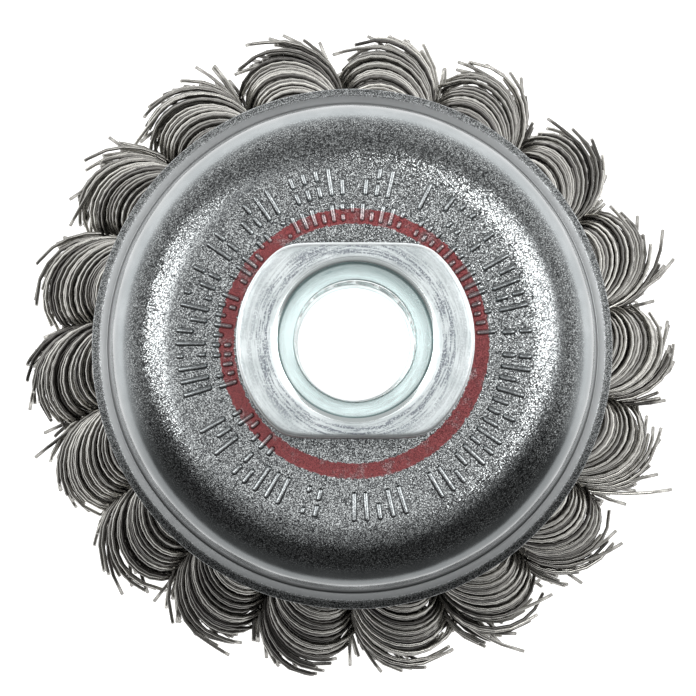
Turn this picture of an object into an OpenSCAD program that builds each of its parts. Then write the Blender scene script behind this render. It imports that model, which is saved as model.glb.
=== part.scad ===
// Wire cup brush with twisted knots, for an angle grinder.
// It stands on the tips of its knots, at z = 0, with the hub nut on top. The axis of rotation is Z.

/* [Hub nut] */
// Diameter over the round ends of the nut
nut_d = 23.2; // [21.5:0.1:26]
// Width across the two spanner flats
nut_flats = 19; // [18:0.5:21]
// Height of the nut above the cup
nut_h = 10; // [7:0.5:14]
// Bevel round the top edge of the nut
nut_bevel = 0.4; // [0.2:0.1:0.8]
// Bevel round the foot of the nut, where it sits on the cup
foot_bevel = 0.2; // [0.1:0.05:0.4]
// Diameter of the threaded bore at the crests of the thread
bore_d = 12; // [9:0.1:13]
// Diameter of the recess at the mouth of the bore
recess_d = 15.2; // [14.2:0.1:16]
// Depth of the straight wall of that recess
recess_depth = 1.1; // [0.6:0.1:2]
// Width of the shallow bevel round the recess
recess_bevel = 0.5; // [0.2:0.1:0.8]
// Diameter of the spigot that passes through the cup and the plate
spigot_d = 17; // [16:0.1:18]
// Width of the rim that is rolled out below the plate
roll_w = 1.7; // [1:0.1:2]
// Height of that rolled rim
roll_h = 1.5; // [1:0.1:2.5]
// Bevel at the lower end of the bore
lead_in = 0.8; // [0.4:0.1:1.2]

/* [Cup] */
// Diameter over the lip of the cup
cup_d = 53.2; // [50:0.2:60]
// Height of the cup from its lip to its flat top
cup_h = 15; // [13:0.5:20]
// Thickness of the pressed steel
cup_t = 1.2; // [0.8:0.1:1.5]
// Outside radius of the shoulder
shoulder_r = 6.4; // [5.4:0.1:7.5]
// Outward lean of the side wall, in degrees
wall_lean = 6; // [2:0.5:9]
// Height of the stepped rim
rim_h = 2.7; // [2:0.1:4]
// Width of the step that stiffens the rim
step_w = 1; // [0.6:0.1:1.4]
// Rounding of the step's edge
step_round = 0.6; // [0.3:0.1:0.8]
// Width of the lip below the step
lip_w = 0.75; // [0.4:0.05:1.2]
// Thickness of the lip
lip_t = 0.9; // [0.5:0.1:1.4]
// Outside diameter of the painted ring round the nut
paint_d = 26.8; // [25.8:0.1:29]
// Inside diameter of the painted ring
paint_inner_d = 23.8; // [23.4:0.1:25]
// Thickness of the paint
paint_t = 0.05; // [0.03:0.01:0.1]

/* [Knot plate] */
// Thickness of the plate that carries the knots
plate_t = 2; // [1.5:0.1:2.5]
// Width of steel between a knot hole and the edge of the plate
bridge_w = 1.1; // [0.8:0.1:1.5]
// Diameter of the raised middle of the plate
plate_hub_d = 25; // [23:0.5:27]

/* [Knots] */
// Length of the knots below the lip of the cup
trim_len = 20; // [14:0.5:28]
// Diameter of one leg of a knot where it loops through the plate
leg_d = 3.1; // [2.4:0.1:3.3]
// Diameter of a knot as it leaves the cup
knot_d = 6.9; // [5.5:0.1:7.1]
// Diameter over the tips of all the knots
tip_reach_d = 70; // [62:0.5:80]
// Radial width of a knot at its tips
tip_w = 11; // [8:0.2:12]
// Turns of the wire from the plate to the tips
knot_turns = 1.1; // [0.5:0.05:1.5]
// Strands that show round a knot
strand_count = 8; // [6:1:12]
// Depth of the grooves between strands, as a share of the knot's radius
groove_share = 0.15; // [0.05:0.01:0.25]
// Height by which every second strand ends short
tip_uneven = 0.7; // [0:0.1:1.5]

/* [Fits] */
// Gap between the spigot and the parts that it passes through
spigot_gap = 0.05; // [0.02:0.01:0.15]
// Gap between a knot and the plate or the next knot
knot_gap = 0.1; // [0.05:0.01:0.2]
// Gap between a knot and the inside of the cup
cup_gap = 0.15; // [0.05:0.01:0.2]

/* [Hidden] */
$fn = 96;

// Number of twisted knots, each with a node of its own
knot_count = 18;
// A cut reaches this far past the solid that it is taken from
over = 1;
// Share of the plate's dish that its sloping wall takes up along the radius
dish_slope = 0.4;

// Heights, from the tips of the knots upwards
rim_z = trim_len;
cup_top_z = rim_z + cup_h;
ceiling_z = cup_top_z - cup_t;
nut_top_z = cup_top_z + nut_h;
crease_z = rim_z + rim_h;
shoulder_z = cup_top_z - shoulder_r;

// Radii of the cup, from the lip inwards
cup_r = cup_d / 2;
step_r = cup_r - lip_w;
wall_foot_r = step_r - step_w;
shoulder_x = wall_foot_r
    - (shoulder_r + (shoulder_z - crease_z) * sin(wall_lean)) / cos(wall_lean);
mouth_r = step_r - cup_t;
wall_foot_inner_r = wall_foot_r - cup_t / cos(wall_lean);

// A leg of a knot stands between the plate's edge and the inside of the cup's wall
leg_r = leg_d / 2;
wall_inner_r = shoulder_x + (shoulder_r - cup_t) * cos(wall_lean);
outer_leg_r = wall_inner_r - cup_gap - leg_r;
plate_r = outer_leg_r - leg_r - knot_gap;
knot_hole_d = leg_d + 2 * knot_gap;
inner_leg_r = plate_r - bridge_w - knot_hole_d / 2;
loop_r = (outer_leg_r - inner_leg_r) / 2;
root_r = (outer_leg_r + inner_leg_r) / 2;

// The loops fill the space under the shoulder, and the plate's flange hangs in them
plate_top_z = min(ceiling_z - loop_r - leg_r, shoulder_z) - cup_gap;
plate_z = plate_top_z - plate_t;
plate_hub_z = ceiling_z - plate_t;
plate_dish = plate_hub_z - plate_z;
roll_z = plate_hub_z - roll_h;
root_z = plate_z - knot_gap;

// A knot's section at the plate, where it passes the step inside the rim, and at the tips
pitch = 360 / knot_count;
root_half = loop_r + leg_r;
exit_z = crease_z - cup_t;
exit_half = knot_d / 2;
exit_middle_r = wall_foot_inner_r - cup_gap - exit_half;
tip_half = tip_w / 2;
tip_middle_r = tip_reach_d / 2 - tip_half;
lean = (exit_middle_r - root_r) / (root_z - exit_z);
flare = (tip_middle_r - exit_middle_r - lean * exit_z) / (exit_z * exit_z);

// Rings of points along a knot: a few inside the cup, and more where it shows
inside_rings = 2;
outside_rings = 10;
points_per_strand = 3;
ring_points = strand_count * points_per_strand;
ring_count = inside_rings + outside_rings + 1;
// Rise of the hollow middle of a knot's end above its outermost tips
tip_hollow = 1.2;
// A knot widens at an even rate with a power of 1, and more towards its tips above that
widening = 1.3;

function blend(from, to, share) = from + (to - from) * share;

function ring_z(ring) =
    ring <= inside_rings
    ? blend(root_z, exit_z, ring / inside_rings)
    : blend(exit_z, 0, (ring - inside_rings) / outside_rings);

// Middle of the knot at height z: straight inside the cup, then curving outwards
function middle_r(z) =
    z >= exit_z
    ? root_r + lean * (root_z - z)
    : exit_middle_r + lean * (exit_z - z) + flare * pow(exit_z - z, 2);

// Half width of the section along the radius
function radial_half(z) =
    z >= exit_z
    ? blend(root_half, exit_half, (root_z - z) / (root_z - exit_z))
    : blend(exit_half, tip_half, pow((exit_z - z) / exit_z, widening));

// Half width along the ring: as the radial one, or what the knots on both sides leave
function side_half(z) =
    let (
        room = middle_r(z) * sin(pitch / 2) - knot_gap,
        lost = radial_half(z) * sin(pitch / 2)
    )
    min(radial_half(z), sqrt(room * room - lost * lost) / cos(pitch / 2));

// Every strand has a groove at its start and two points across its crown
function groove(i) = i % points_per_strand == 0 ? 1 - groove_share : 1;

// Strands turn counter-clockwise on their way down
function twist_at(z) = 360 * knot_turns * (root_z - z) / root_z;

function short_end(ring, i) =
    ring == ring_count - 1 && floor(i / points_per_strand) % 2 == 1 ? tip_uneven : 0;

function ring_point(ring, i) =
    let (
        z = ring_z(ring),
        angle = 360 * i / ring_points + twist_at(z),
        along = radial_half(z) * groove(i) * cos(angle),
        across = side_half(z) * groove(i) * sin(angle)
    )
    [middle_r(z) + along, across, z + short_end(ring, i)];

// Two triangles between strand point i of a ring and of the next ring down
function wall_faces(ring, i) =
    let (
        next = (i + 1) % ring_points,
        upper = ring * ring_points,
        lower = upper + ring_points
    )
    [
        [upper + i, upper + next, lower + i],
        [upper + next, lower + next, lower + i]
    ];

// The twisted bundle of wires, from below the plate to the tips
module bundle() {
    points = [
        for (ring = [0 : ring_count - 1]) for (i = [0 : ring_points - 1]) ring_point(ring, i),
        [root_r, 0, root_z],
        [tip_middle_r, 0, tip_hollow]
    ];
    top_middle = ring_count * ring_points;
    last_ring = (ring_count - 1) * ring_points;
    faces = [
        for (ring = [0 : ring_count - 2]) for (i = [0 : ring_points - 1])
            each wall_faces(ring, i),
        for (i = [0 : ring_points - 1]) [top_middle, (i + 1) % ring_points, i],
        for (i = [0 : ring_points - 1])
            [top_middle + 1, last_ring + i, last_ring + (i + 1) % ring_points]
    ];
    polyhedron(points = points, faces = faces);
}

// The wires pass up through their hole, over the edge of the plate and down outside it
module loop() {
    leg_h = plate_top_z - root_z + leg_r;
    translate([root_r, 0, plate_top_z])
        rotate([90, 0, 0])
            rotate_extrude(angle = 180) translate([loop_r, 0]) circle(d = leg_d);
    for (leg = [inner_leg_r, outer_leg_r])
        translate([leg, 0, plate_top_z - leg_h]) cylinder(h = leg_h, d = leg_d);
}

module knot(number) {
    color("silver")
        rotate([0, 0, (number - 1) * pitch]) {
            bundle();
            loop();
        }
}

// Half section of the cup up to its outer surface, taken inwards by inset
module cup_half(inset, foot_z) {
    wall_x = wall_foot_r - inset / cos(wall_lean);
    square_w = shoulder_x;
    round_r = shoulder_r - inset;
    translate([0, foot_z]) square([square_w, cup_top_z - inset - foot_z]);
    translate([shoulder_x, shoulder_z]) circle(r = round_r);
    polygon([
        [0, foot_z],
        [wall_x, foot_z],
        [wall_x, crease_z],
        [shoulder_x + round_r * cos(wall_lean), shoulder_z + round_r * sin(wall_lean)],
        [shoulder_x, shoulder_z],
        [0, shoulder_z]
    ]);
}

// Solid part of the stepped rim: a rounded step over a thin lip
module rim_half() {
    translate([0, rim_z]) square([step_r, rim_h - step_round]);
    translate([0, rim_z]) square([step_r - step_round, rim_h]);
    translate([step_r - step_round, crease_z - step_round]) circle(r = step_round);
    translate([0, rim_z]) square([cup_r - lip_t / 2, lip_t]);
    translate([cup_r - lip_t / 2, rim_z + lip_t / 2]) circle(d = lip_t);
}

module cup() {
    color("gainsboro")
        rotate_extrude()
            difference() {
                union() {
                    cup_half(0, rim_z);
                    rim_half();
                }
                cup_half(cup_t, rim_z - over);
                translate([0, rim_z - over]) square([mouth_r, rim_h - cup_t + over]);
                translate([0, ceiling_z - over])
                    square([spigot_d / 2 + spigot_gap, cup_t + 2 * over]);
                translate([-cup_r, rim_z - over]) square([cup_r, cup_h + 2 * over]);
            }
    color("firebrick")
        translate([0, 0, cup_top_z - cup_t / 2])
            difference() {
                cylinder(h = cup_t / 2 + paint_t, d = paint_d);
                translate([0, 0, -over]) cylinder(h = cup_t + 2 * over, d = paint_inner_d);
            }
}

// Outline of the nut's head, as wide as it is given, with a bevelled top and foot
module head_outline(w) {
    polygon([
        [-w / 2 + foot_bevel, 0],
        [w / 2 - foot_bevel, 0],
        [w / 2, foot_bevel],
        [w / 2, nut_h - nut_bevel],
        [w / 2 - nut_bevel, nut_h],
        [-w / 2 + nut_bevel, nut_h],
        [-w / 2, nut_h - nut_bevel],
        [-w / 2, foot_bevel]
    ]);
}

// The head is turned round, and its two flats are milled
module nut_head() {
    translate([0, 0, cup_top_z])
        intersection() {
            rotate_extrude()
                intersection() {
                    head_outline(nut_d);
                    square([nut_d, nut_h]);
                }
            rotate([90, 0, 90])
                linear_extrude(height = nut_d + 2 * over, center = true) head_outline(nut_flats);
        }
}

// Half section of the spigot, with its rolled rim at the lower end
module spigot_half() {
    roll_r = spigot_d / 2 + roll_w;
    translate([0, roll_z]) square([spigot_d / 2, cup_top_z - roll_z]);
    translate([0, roll_z]) square([roll_r - roll_h / 2, roll_h]);
    translate([roll_r - roll_h / 2, roll_z + roll_h / 2])
        intersection() {
            circle(d = roll_h);
            translate([0, -roll_h]) square(2 * roll_h);
        }
}

// Half section of the way through the nut: bevel, recess, countersink, bore and lead-in
module bore_half() {
    bore_r = bore_d / 2;
    recess_r = recess_d / 2;
    recess_z = nut_top_z - recess_depth;
    polygon([
        [0, roll_z - over],
        [bore_r + lead_in, roll_z - over],
        [bore_r + lead_in, roll_z],
        [bore_r, roll_z + lead_in],
        [bore_r, recess_z - (recess_r - bore_r)],
        [recess_r, recess_z],
        [recess_r, nut_top_z - recess_bevel / 2],
        [recess_r + recess_bevel, nut_top_z],
        [recess_r + recess_bevel, nut_top_z + over],
        [0, nut_top_z + over]
    ]);
}

module hub_nut() {
    color("whitesmoke")
        difference() {
            union() {
                nut_head();
                rotate_extrude() spigot_half();
            }
            rotate_extrude() bore_half();
        }
}

// A dished plate: its middle is clamped against the cup, and its flange carries the knots
module knot_plate() {
    hub_r = plate_hub_d / 2;
    hole_r = spigot_d / 2 + spigot_gap;
    slope = dish_slope * plate_dish;
    color("dimgray")
        difference() {
            rotate_extrude()
                polygon([
                    [hole_r, plate_hub_z],
                    [hub_r - plate_t / 2, plate_hub_z],
                    [hub_r - plate_t / 2 + slope, plate_z],
                    [plate_r, plate_z],
                    [plate_r, plate_top_z],
                    [hub_r + plate_t / 2 + slope, plate_top_z],
                    [hub_r + plate_t / 2, ceiling_z],
                    [hole_r, ceiling_z]
                ]);
            for (number = [1 : knot_count])
                rotate([0, 0, (number - 1) * pitch])
                    translate([inner_leg_r, 0, plate_z - over])
                        cylinder(h = plate_t + 2 * over, d = knot_hole_d);
        }
}

cup();
hub_nut();
knot_plate();
knot(1);  // knot_01
knot(2);  // knot_02
knot(3);  // knot_03
knot(4);  // knot_04
knot(5);  // knot_05
knot(6);  // knot_06
knot(7);  // knot_07
knot(8);  // knot_08
knot(9);  // knot_09
knot(10);  // knot_10
knot(11);  // knot_11
knot(12);  // knot_12
knot(13);  // knot_13
knot(14);  // knot_14
knot(15);  // knot_15
knot(16);  // knot_16
knot(17);  // knot_17
knot(18);  // knot_18
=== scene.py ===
"""The looks of a wire cup brush with twisted knots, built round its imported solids.

The brush stands on the tips of its wires, and its axis of rotation is Z. Sizes here are in
millimetres until a mesh is made, and angles are in radians unless a name says degrees."""

import math

import bpy
import numpy as np
from mathutils import Matrix, Vector


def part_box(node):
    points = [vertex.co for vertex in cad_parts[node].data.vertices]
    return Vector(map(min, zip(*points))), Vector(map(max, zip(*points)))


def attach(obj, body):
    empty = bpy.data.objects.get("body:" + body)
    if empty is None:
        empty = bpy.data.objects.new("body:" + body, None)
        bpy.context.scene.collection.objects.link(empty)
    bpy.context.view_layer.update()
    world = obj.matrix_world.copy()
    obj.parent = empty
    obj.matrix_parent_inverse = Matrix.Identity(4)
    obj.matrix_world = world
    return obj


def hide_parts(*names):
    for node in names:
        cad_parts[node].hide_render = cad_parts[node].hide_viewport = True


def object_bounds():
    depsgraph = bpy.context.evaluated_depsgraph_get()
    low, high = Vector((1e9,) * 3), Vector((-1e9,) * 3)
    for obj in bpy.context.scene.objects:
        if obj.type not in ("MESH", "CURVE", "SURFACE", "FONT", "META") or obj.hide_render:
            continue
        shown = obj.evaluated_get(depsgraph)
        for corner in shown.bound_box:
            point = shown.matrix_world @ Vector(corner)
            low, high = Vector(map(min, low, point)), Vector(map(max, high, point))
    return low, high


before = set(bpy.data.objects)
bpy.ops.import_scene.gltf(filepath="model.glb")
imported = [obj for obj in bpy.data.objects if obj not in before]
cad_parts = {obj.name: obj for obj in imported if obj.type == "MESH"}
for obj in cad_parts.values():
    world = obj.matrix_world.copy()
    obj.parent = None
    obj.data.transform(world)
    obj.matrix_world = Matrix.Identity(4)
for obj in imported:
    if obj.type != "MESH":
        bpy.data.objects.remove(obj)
cad_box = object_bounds()

MM = 0.001
FULL_TURN = 2 * math.pi
FULL_TURN_DEGREES = 360

# Sizes that the solids give
cup_low, cup_high = (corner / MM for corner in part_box("cup"))
nut_low, nut_high = (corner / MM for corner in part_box("hub_nut"))
_, box_high = (corner / MM for corner in cad_box)

# Cup
PAINT_T = 0.05
CUP_T = 1.2
CUP_R = cup_high.x
RIM_Z = cup_low.z
CUP_TOP_Z = cup_high.z - PAINT_T
SHOULDER_R = 6.4
WALL_LEAN = math.radians(6)
WALL_TURN = math.pi / 2 - WALL_LEAN
RIM_H = 2.7
STEP_W = 1.0
SHELF_R = 24.88
SHELF_FALL = 0.03
SHELF_DROP = 0.2
LEDGE_FALL = 0.06
LIP_W = 0.75
LIP_T = 0.9
LIP_FALL = 0.28
CEILING_Z = CUP_TOP_Z - CUP_T
CREASE_Z = RIM_Z + RIM_H
SHOULDER_Z = CUP_TOP_Z - SHOULDER_R
STEP_R = CUP_R - LIP_W
WALL_FOOT_R = STEP_R - STEP_W
WALL_RUN = (SHOULDER_Z - CREASE_Z) * math.sin(WALL_LEAN)
SHOULDER_X = WALL_FOOT_R - (SHOULDER_R + WALL_RUN) / math.cos(WALL_LEAN)
MOUTH_R = STEP_R - CUP_T
WALL_FOOT_INNER_R = WALL_FOOT_R - CUP_T / math.cos(WALL_LEAN)
HUB_HOLE_R = 8.55

# Roundings and small steps of the cup's section
FOOT_INSET = 0.05
FOOT_RISE = 0.3
FOOT_ROUND = 0.15
FOOT_ROUND_START = math.pi * 1.5
SHELF_EDGE_W = 0.05
SHELF_EDGE_H = 0.01
DROP_W = 0.08
DROP_FOOT_W = 0.14
STEP_ROUND = 0.14
ROUND_START = 0.5
LIP_ROOT_W = 0.1
LIP_ROOT_H = 0.12
MOUTH_BEVEL = 0.15

# How finely the cup is drawn
CUP_SEGMENTS = 720
FLAT_STEP = 0.9
SHOULDER_POINTS = 26
WALL_POINTS = 4
FOOT_POINTS = 5
STEP_POINTS = 4
LIP_POINTS = 12
INNER_POINTS = 14
CUP_SHARP = math.radians(35)

# Marks on the flat top
MARK_H = 0.2
MARK_CORNERS = 16
MARK_DOME = ((0, -0.3), (0.03, 0.15), (0.2, 0.52), (0.48, 0.84), (0.8, 1.0))
MARK_SHARP = math.radians(50)
BAR_W = 0.62
OUTER_SLOTS = 84
OUTER_MARK_R = 16.2
OUTER_LENGTH = 3.05
OUTER_ROW_START = 0
OUTER_ROW_END = 359
INNER_SLOTS = 84
INNER_MARK_R = 13.1
INNER_LENGTH = 2.0
INNER_ROW_START = 5
INNER_ROW_END = 236
# Each kind of mark as bars, given by their shift and length as shares of the row's width
MARK_KINDS = (
    ((0, 1),),
    ((0.36, 0.28), (-0.36, 0.28)),
    ((0.27, 0.46), (-0.27, 0.46)),
    ((-0.2, 0.6),),
    ((0.2, 0.6),),
    (),
)
# How often each kind comes
MARK_SHARES = (0.4, 0.08, 0.13, 0.13, 0.13, 0.13)
MARK_SEED = 4

# Hub nut
NUT_R = nut_high.x
NUT_FLAT_Y = 9.5
NUT_TOP_Z = nut_high.z
NUT_END_Z = nut_low.z
NUT_BEVEL = 0.4
FOOT_BEVEL = 0.2
CORNER_BLEND = 0.5
BORE_R = 5.92
RECESS_R = 7.6
RECESS_DEPTH = 1.1
RECESS_BEVEL = 0.5
RECESS_Z = NUT_TOP_Z - RECESS_DEPTH
SPIGOT_R = 8.5
ROLL_R = 10.2
ROLL_H = 1.5
LEAD_IN = 0.8
THREAD_PITCH = 2.0
THREAD_DEPTH = 1.0
THREAD_LAND = 0.7
THREAD_RUN_IN = 1.5
# Depth of the thread, as a share, at shares of its pitch
THREAD_STATIONS = (0, 0.25, 0.5625, 0.6875, 1)
THREAD_DEPTHS = (0, 0, 1, 1, 0)
# Small lip at the lower end of the bore, where the thread runs out
END_R = 5.6
END_H = 1.1
END_EDGE_W = 0.06
END_EDGE_H = 0.03
END_FALL = 0.1

# How finely the nut is drawn
ARC_SEGMENTS = 72
FLAT_SEGMENTS = 48
HEAD_SHARES = (0.33, 0.66)
BEVEL_RINGS = 5
FACE_SHARES = (0.2, 0.4, 0.6, 0.8)
BORE_STEP = 0.125
ROLL_RINGS = 9
NUT_SHARP = math.radians(28)
LEAST_SINE = 1e-6

# Knots: where the middle of the bundle runs and how wide it is, from its root to its tip
KNOT_COUNT = 18
KNOT_SEED = 100
ROOT_Z = 26.4
ROOT_MIDDLE_R = 19.05
ROOT_HALF = 3.76
EXIT_Z = CREASE_Z - CUP_T
EXIT_HALF = 3.45
EXIT_MIDDLE_R = 20.04
TIP_HALF = 5.3
TIP_MIDDLE_R = 29.4
SIDE_GAP = 0.1
SIDE_SPREAD = 0.09
WIDENING = 1.1
LEANING = 1.1
TURNS_IN_CUP = 0.2
TURNS_SHOWN = 1.25
TURNING = 1.2
LIMIT_BAND = 0.9
DRIFT_MOST = 5.3
DRIFT_MIDDLE = 152
DRIFT_WIDTH = 70

# Wires of a knot
WIRE_R = 0.2
WIRE_SIDES = 5
LAYERS = ((1.0, 25), (0.9, 24), (0.8, 21))
LAYER_PHASE_SPREAD = 0.34
LAYER_SHARE_SPREAD = (-0.09, 0.03)
CORE_WIRES = 88
CORE_SHARE = 0.72
CORE_SHARE_SPREAD = 0.04
CORE_PHASE_SPREAD = 0.06
GOLDEN_ANGLE = math.pi * (3 - math.sqrt(5))
SPIRAL_START = 0.5
HIDDEN_RINGS = 3
SHOWN_RINGS = 28
CORE_RINGS = 8
WOBBLE_MOST = 0.11
WOBBLE_RATES = (0.2, 0.5)
FRAY = 0.17
FRAY_INWARDS = FRAY / 3
FRAY_POWER = 3

# Cut ends: heights at which wires let go of the helix and end, and how they bend from there
RELEASE_LOWEST = 0.5
RELEASE_RANGE = 2.9
RELEASE_POWER = 3
CUT_LOWEST = 0.25
CUT_RANGE = 1.6
CUT_POWER = 2.2
FREE_LEAST = 0.3
BEND_MOST = 0.8
SPREAD_LEAST = 0.5
END_RINGS = 3

# Tones of wires: each wire's own at random, with painted shade that makes those in the middle of a knot
# darker; cut ends are bright
TONE_LEAST = 0.07
TONE_RANGE = 0.93
# Painted shade: the factor on a wire's tone at the middle of a knot, what it gains towards the outside, and
# its power
PAINTED_SHADE_CORE = 0.22
PAINTED_SHADE_RANGE = 0.78
PAINTED_SHADE_POWER = 3
CUT_TONE = 0.7
LOOP_TONE = 0.6

# Loops of wire over the plate
LOOP_WIRES = 18
LOOP_RINGS = 9
LOOP_WIRE_RING = 1.3
LOOP_R = 2.21
LOOP_Z = 28.5
LOOP_OVERLAP = 0.2

# Numbers of the colour inputs and output of a mix node, and what a noise is without further settings
MIX_A = 6
MIX_B = 7
MIX_RESULT = 2
NOISE_ROUGHNESS = 0.5
NOISE_MIDDLE = 0.5

# Finish of the cup. Noises are scale, detail and roughness; spans of radius and height are in millimetres
GRAIN_CELL = 0.072
GRAIN_TILT = 0.17
GRAIN_TILT_LEAST = 0.02
GRAIN_DARK = (0.02, 0.022, 0.024)
GRAIN_LIGHT = (0.79, 0.825, 0.83)
SPECKLE_POWER = 2.5
SHOULDER_FADE = (21.8, 23.3)
LIP_FADE = (STEP_R - 0.35, STEP_R + 0.05)
LIP_GRAIN = 0.9
MARK_FADE = (CUP_TOP_Z + 0.02, CUP_TOP_Z + MARK_H * 0.8)
MARK_GRAIN_LOSS = 0.6
CUP_DENTS = (900, 3)
CUP_DENT_H = 0.02
CUP_DENT_STRENGTH = 0.5
CUP_BLOTCHES = (220, 4, 0.6)
CUP_BLOTCH_SPAN = (0.35, 0.7)
SMOOTH_DARK = (0.265, 0.285, 0.292)
SMOOTH_LIGHT = (0.335, 0.355, 0.362)
RIM_START = (24.4, 24.7)
RIM_ZINC = (0.225, 0.233, 0.236)
RUB_SCALES = (2.6, 5200, 4200)
RUB_NOISE = (1.0, 2)
RUB_SPAN = (0.64, 0.7)
RUB_INNER = (24.2, 24.6)
RUB_OUTER = (25.0, 25.3)
RUB_MOST = 0.8
RUB_DARK = (0.12, 0.12, 0.125)
CUP_ROUGH_SPAN = (0.2, 0.8)
CUP_ROUGH = (0.16, 0.23)
RIM_ROUGH_START = (24.3, 24.8)
RIM_ROUGH_MORE = 0.16

# Red paint round the nut
PAINT_OUTER_R = 13.4
PAINT_INNER_R = 11.9
PAINT_SOFTNESS = 0.06
PAINT_OUTER = (PAINT_OUTER_R - PAINT_SOFTNESS, PAINT_OUTER_R + PAINT_SOFTNESS)
PAINT_INNER = (PAINT_INNER_R - PAINT_SOFTNESS, PAINT_INNER_R + PAINT_SOFTNESS)
PAINT_LOWEST_Z = CEILING_Z + 0.6
PAINT_EDGE_NOISE = (2600, 2)
PAINT_TEAR = 0.5
PAINT_WEAR_NOISE = (520, 4, 0.7)
PAINT_WEAR_SPAN = (0.34, 0.5)
PAINT_WORN = 0.6
PAINT_MARK_SPAN = (CUP_TOP_Z + 0.1, CUP_TOP_Z + MARK_H)
PAINT_ON_MARKS = 0.35
PAINT_METAL_LOSS = 0.6
RED_DARK = (0.10, 0.015, 0.018)
RED_LIGHT = (0.34, 0.07, 0.075)

# Finish of the nut
TURNING_NOISE = (9000, 3, 0.6)
TURNING_H = 0.02
TURNING_STRENGTH = 0.6
NUT_BLOTCHES = (300, 4, 0.6)
NUT_BLOTCH_SPAN = (0.3, 0.7)
NUT_DARK = (0.455, 0.497, 0.502)
NUT_LIGHT = (0.61, 0.652, 0.657)
WEAR_SCALES = (2.2, 3600, 0)
WEAR_NOISE = (1.0, 5, 0.75)
WEAR_H = 0.03
WEAR_STRENGTH = 0.6
SPECK_NOISE = (5200, 3, 0.7)
POLISH_WEAR = (0.56, 0.68)
POLISH_SPECKS = (0.45, 0.6)
POLISH_MOST = 0.8
POLISHED = (0.85, 0.90, 0.91)
PIT_WEAR = (0.43, 0.55)
PIT_SPECKS = (0.38, 0.52)
PIT_MOST = 0.95
PITTED = (0.15, 0.165, 0.19)
FACE_INNER = (8.2, 8.5)
FACE_OUTER = (9.3, 10.6)
FACE_FAR = 0.35
# Painted highlight: the bevel round the face is made lighter
EDGE_LOWER = (NUT_TOP_Z - NUT_BEVEL - 0.1, NUT_TOP_Z - NUT_BEVEL)
EDGE_UPPER = (NUT_TOP_Z - 0.05, NUT_TOP_Z - 0.01)
EDGE_HIGHLIGHT_COLOUR = (0.93, 0.97, 0.98)
MOUTH_SPAN = (7.9, 8.1)
MOUTH_BRIGHT = (0.86, 0.93, 0.93)
# Painted shade in the corner at the foot of the recess
CORNER_LOWER = (RECESS_Z - 0.3, RECESS_Z - 0.1)
CORNER_UPPER = (RECESS_Z + 0.25, RECESS_Z + 0.45)
CORNER_SHADE_MOST = 0.85
CORNER_SHADE_COLOUR = (0.13, 0.19, 0.19)
NUT_ROUGH_SPAN = (0.3, 0.7)
NUT_ROUGH = (0.34, 0.46)
MOUTH_SMOOTHER = 0.24

# Finish of the plate
PLATE_BLOTCHES = (260, 5, 0.6)
PLATE_BLOTCH_SPAN = (0.3, 0.7)
PLATE_DARK = (0.30, 0.31, 0.32)
PLATE_LIGHT = (0.46, 0.47, 0.48)
PLATE_ROUGH_SPAN = (0.2, 0.8)
PLATE_ROUGH = (0.35, 0.55)
PLATE_CELL = 0.2
PLATE_TILT = 0.12

# Finish of the wires
STREAKS = (1400, 3, 0.6)
WIRE_DARK = (0.03, 0.028, 0.026)
WIRE_LIGHT = (0.8, 0.785, 0.735)
STREAK_SPAN = (0.35, 0.8)
STREAK_MOST = 0.5
STREAK_COLOUR = (0.22, 0.205, 0.19)
WIRE_ROUGH_SPAN = (0.2, 0.8)
WIRE_ROUGH = (0.16, 0.26)
STREAK_H = 0.01
STREAK_STRENGTH = 0.25

# Floor
FLOOR_HALF = 2000
FLOOR_NOISE = (6, 2)
FLOOR_DARK = (0.78, 0.78, 0.78)
FLOOR_LIGHT = (0.82, 0.82, 0.82)
DULL = 0.9
WHITE = (1, 1, 1, 1)

# Camera: looking down on the nut, a little from the front and the left
FRAME_PX = 696
NUT_TOP_PX = (355.5, 339.8)
NUT_SCALE = 0.0969
CAMERA_OFFSET = (-6.0, -16.5)
CAMERA_HEIGHT = 460
SENSOR = 36
CLIP_START = 0.01
CLIP_END = 10

# Soft boxes: azimuth and angle from straight up, in degrees, distance, width and length, and power
SOFTBOXES = (
    ("left_box", 164, 32.5, 600, (345, 400), 1.45),
    ("right_box", 17, 35.5, 600, (355, 412), 1.65),
    ("top_box", 270, 2, 800, (330, 290), 0.24),
)

# Radiance of the surround: up high and towards the picture's top, along the horizon, and towards the
# picture's lower edge
NORTH_LIGHT = 0.48
HORIZON_LIGHT = 0.88
SOUTH_LIGHT = 0.08
SEEN_LIGHT = 1.0
SOUTH_TO_NORTH = (-0.5, -0.1)
HIGH_TO_HORIZON = (0.45, 0.05)
LOW_TO_HIGH = (0.66, 0.82)

# Card under the brush, seen only in its reflections: bright near by, grey far off, dark towards the
# picture's lower edge
CARD_HALF = 1900
CARD_Z = 0.2
CARD_OVAL = (122 * MM, 100 * MM, 1)
CARD_OVAL_MIDDLE = (0, 36 * MM, 0)
CARD_OVAL_EDGE = (0.93, 1.07)
CARD_WHITE_SPAN = (38, 75)
CARD_WHITES = (1.35, 1.75)
CARD_SHADE = 0.5
CARD_SHADE_SPAN = (-38, 2)
CARD_SHADE_START = (33, 44)
CARD_SHADE_LEAST = 0.25
CARD_COLOUR = (0.01, 0.01, 0.01, 1)


def link_mesh(name, points, faces, material, smooth_angle=None):
    """A new object from points in millimetres and faces as lists of their numbers."""
    mesh = bpy.data.meshes.new(name)
    mesh.from_pydata((np.asarray(points, float) * MM).tolist(), [], faces)
    mesh.materials.append(material)
    mesh.polygons.foreach_set("use_smooth", [True] * len(mesh.polygons))
    if smooth_angle is not None:
        mesh.set_sharp_from_angle(angle=smooth_angle)
    piece = bpy.data.objects.new(name, mesh)
    bpy.context.scene.collection.objects.link(piece)
    return piece


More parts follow.
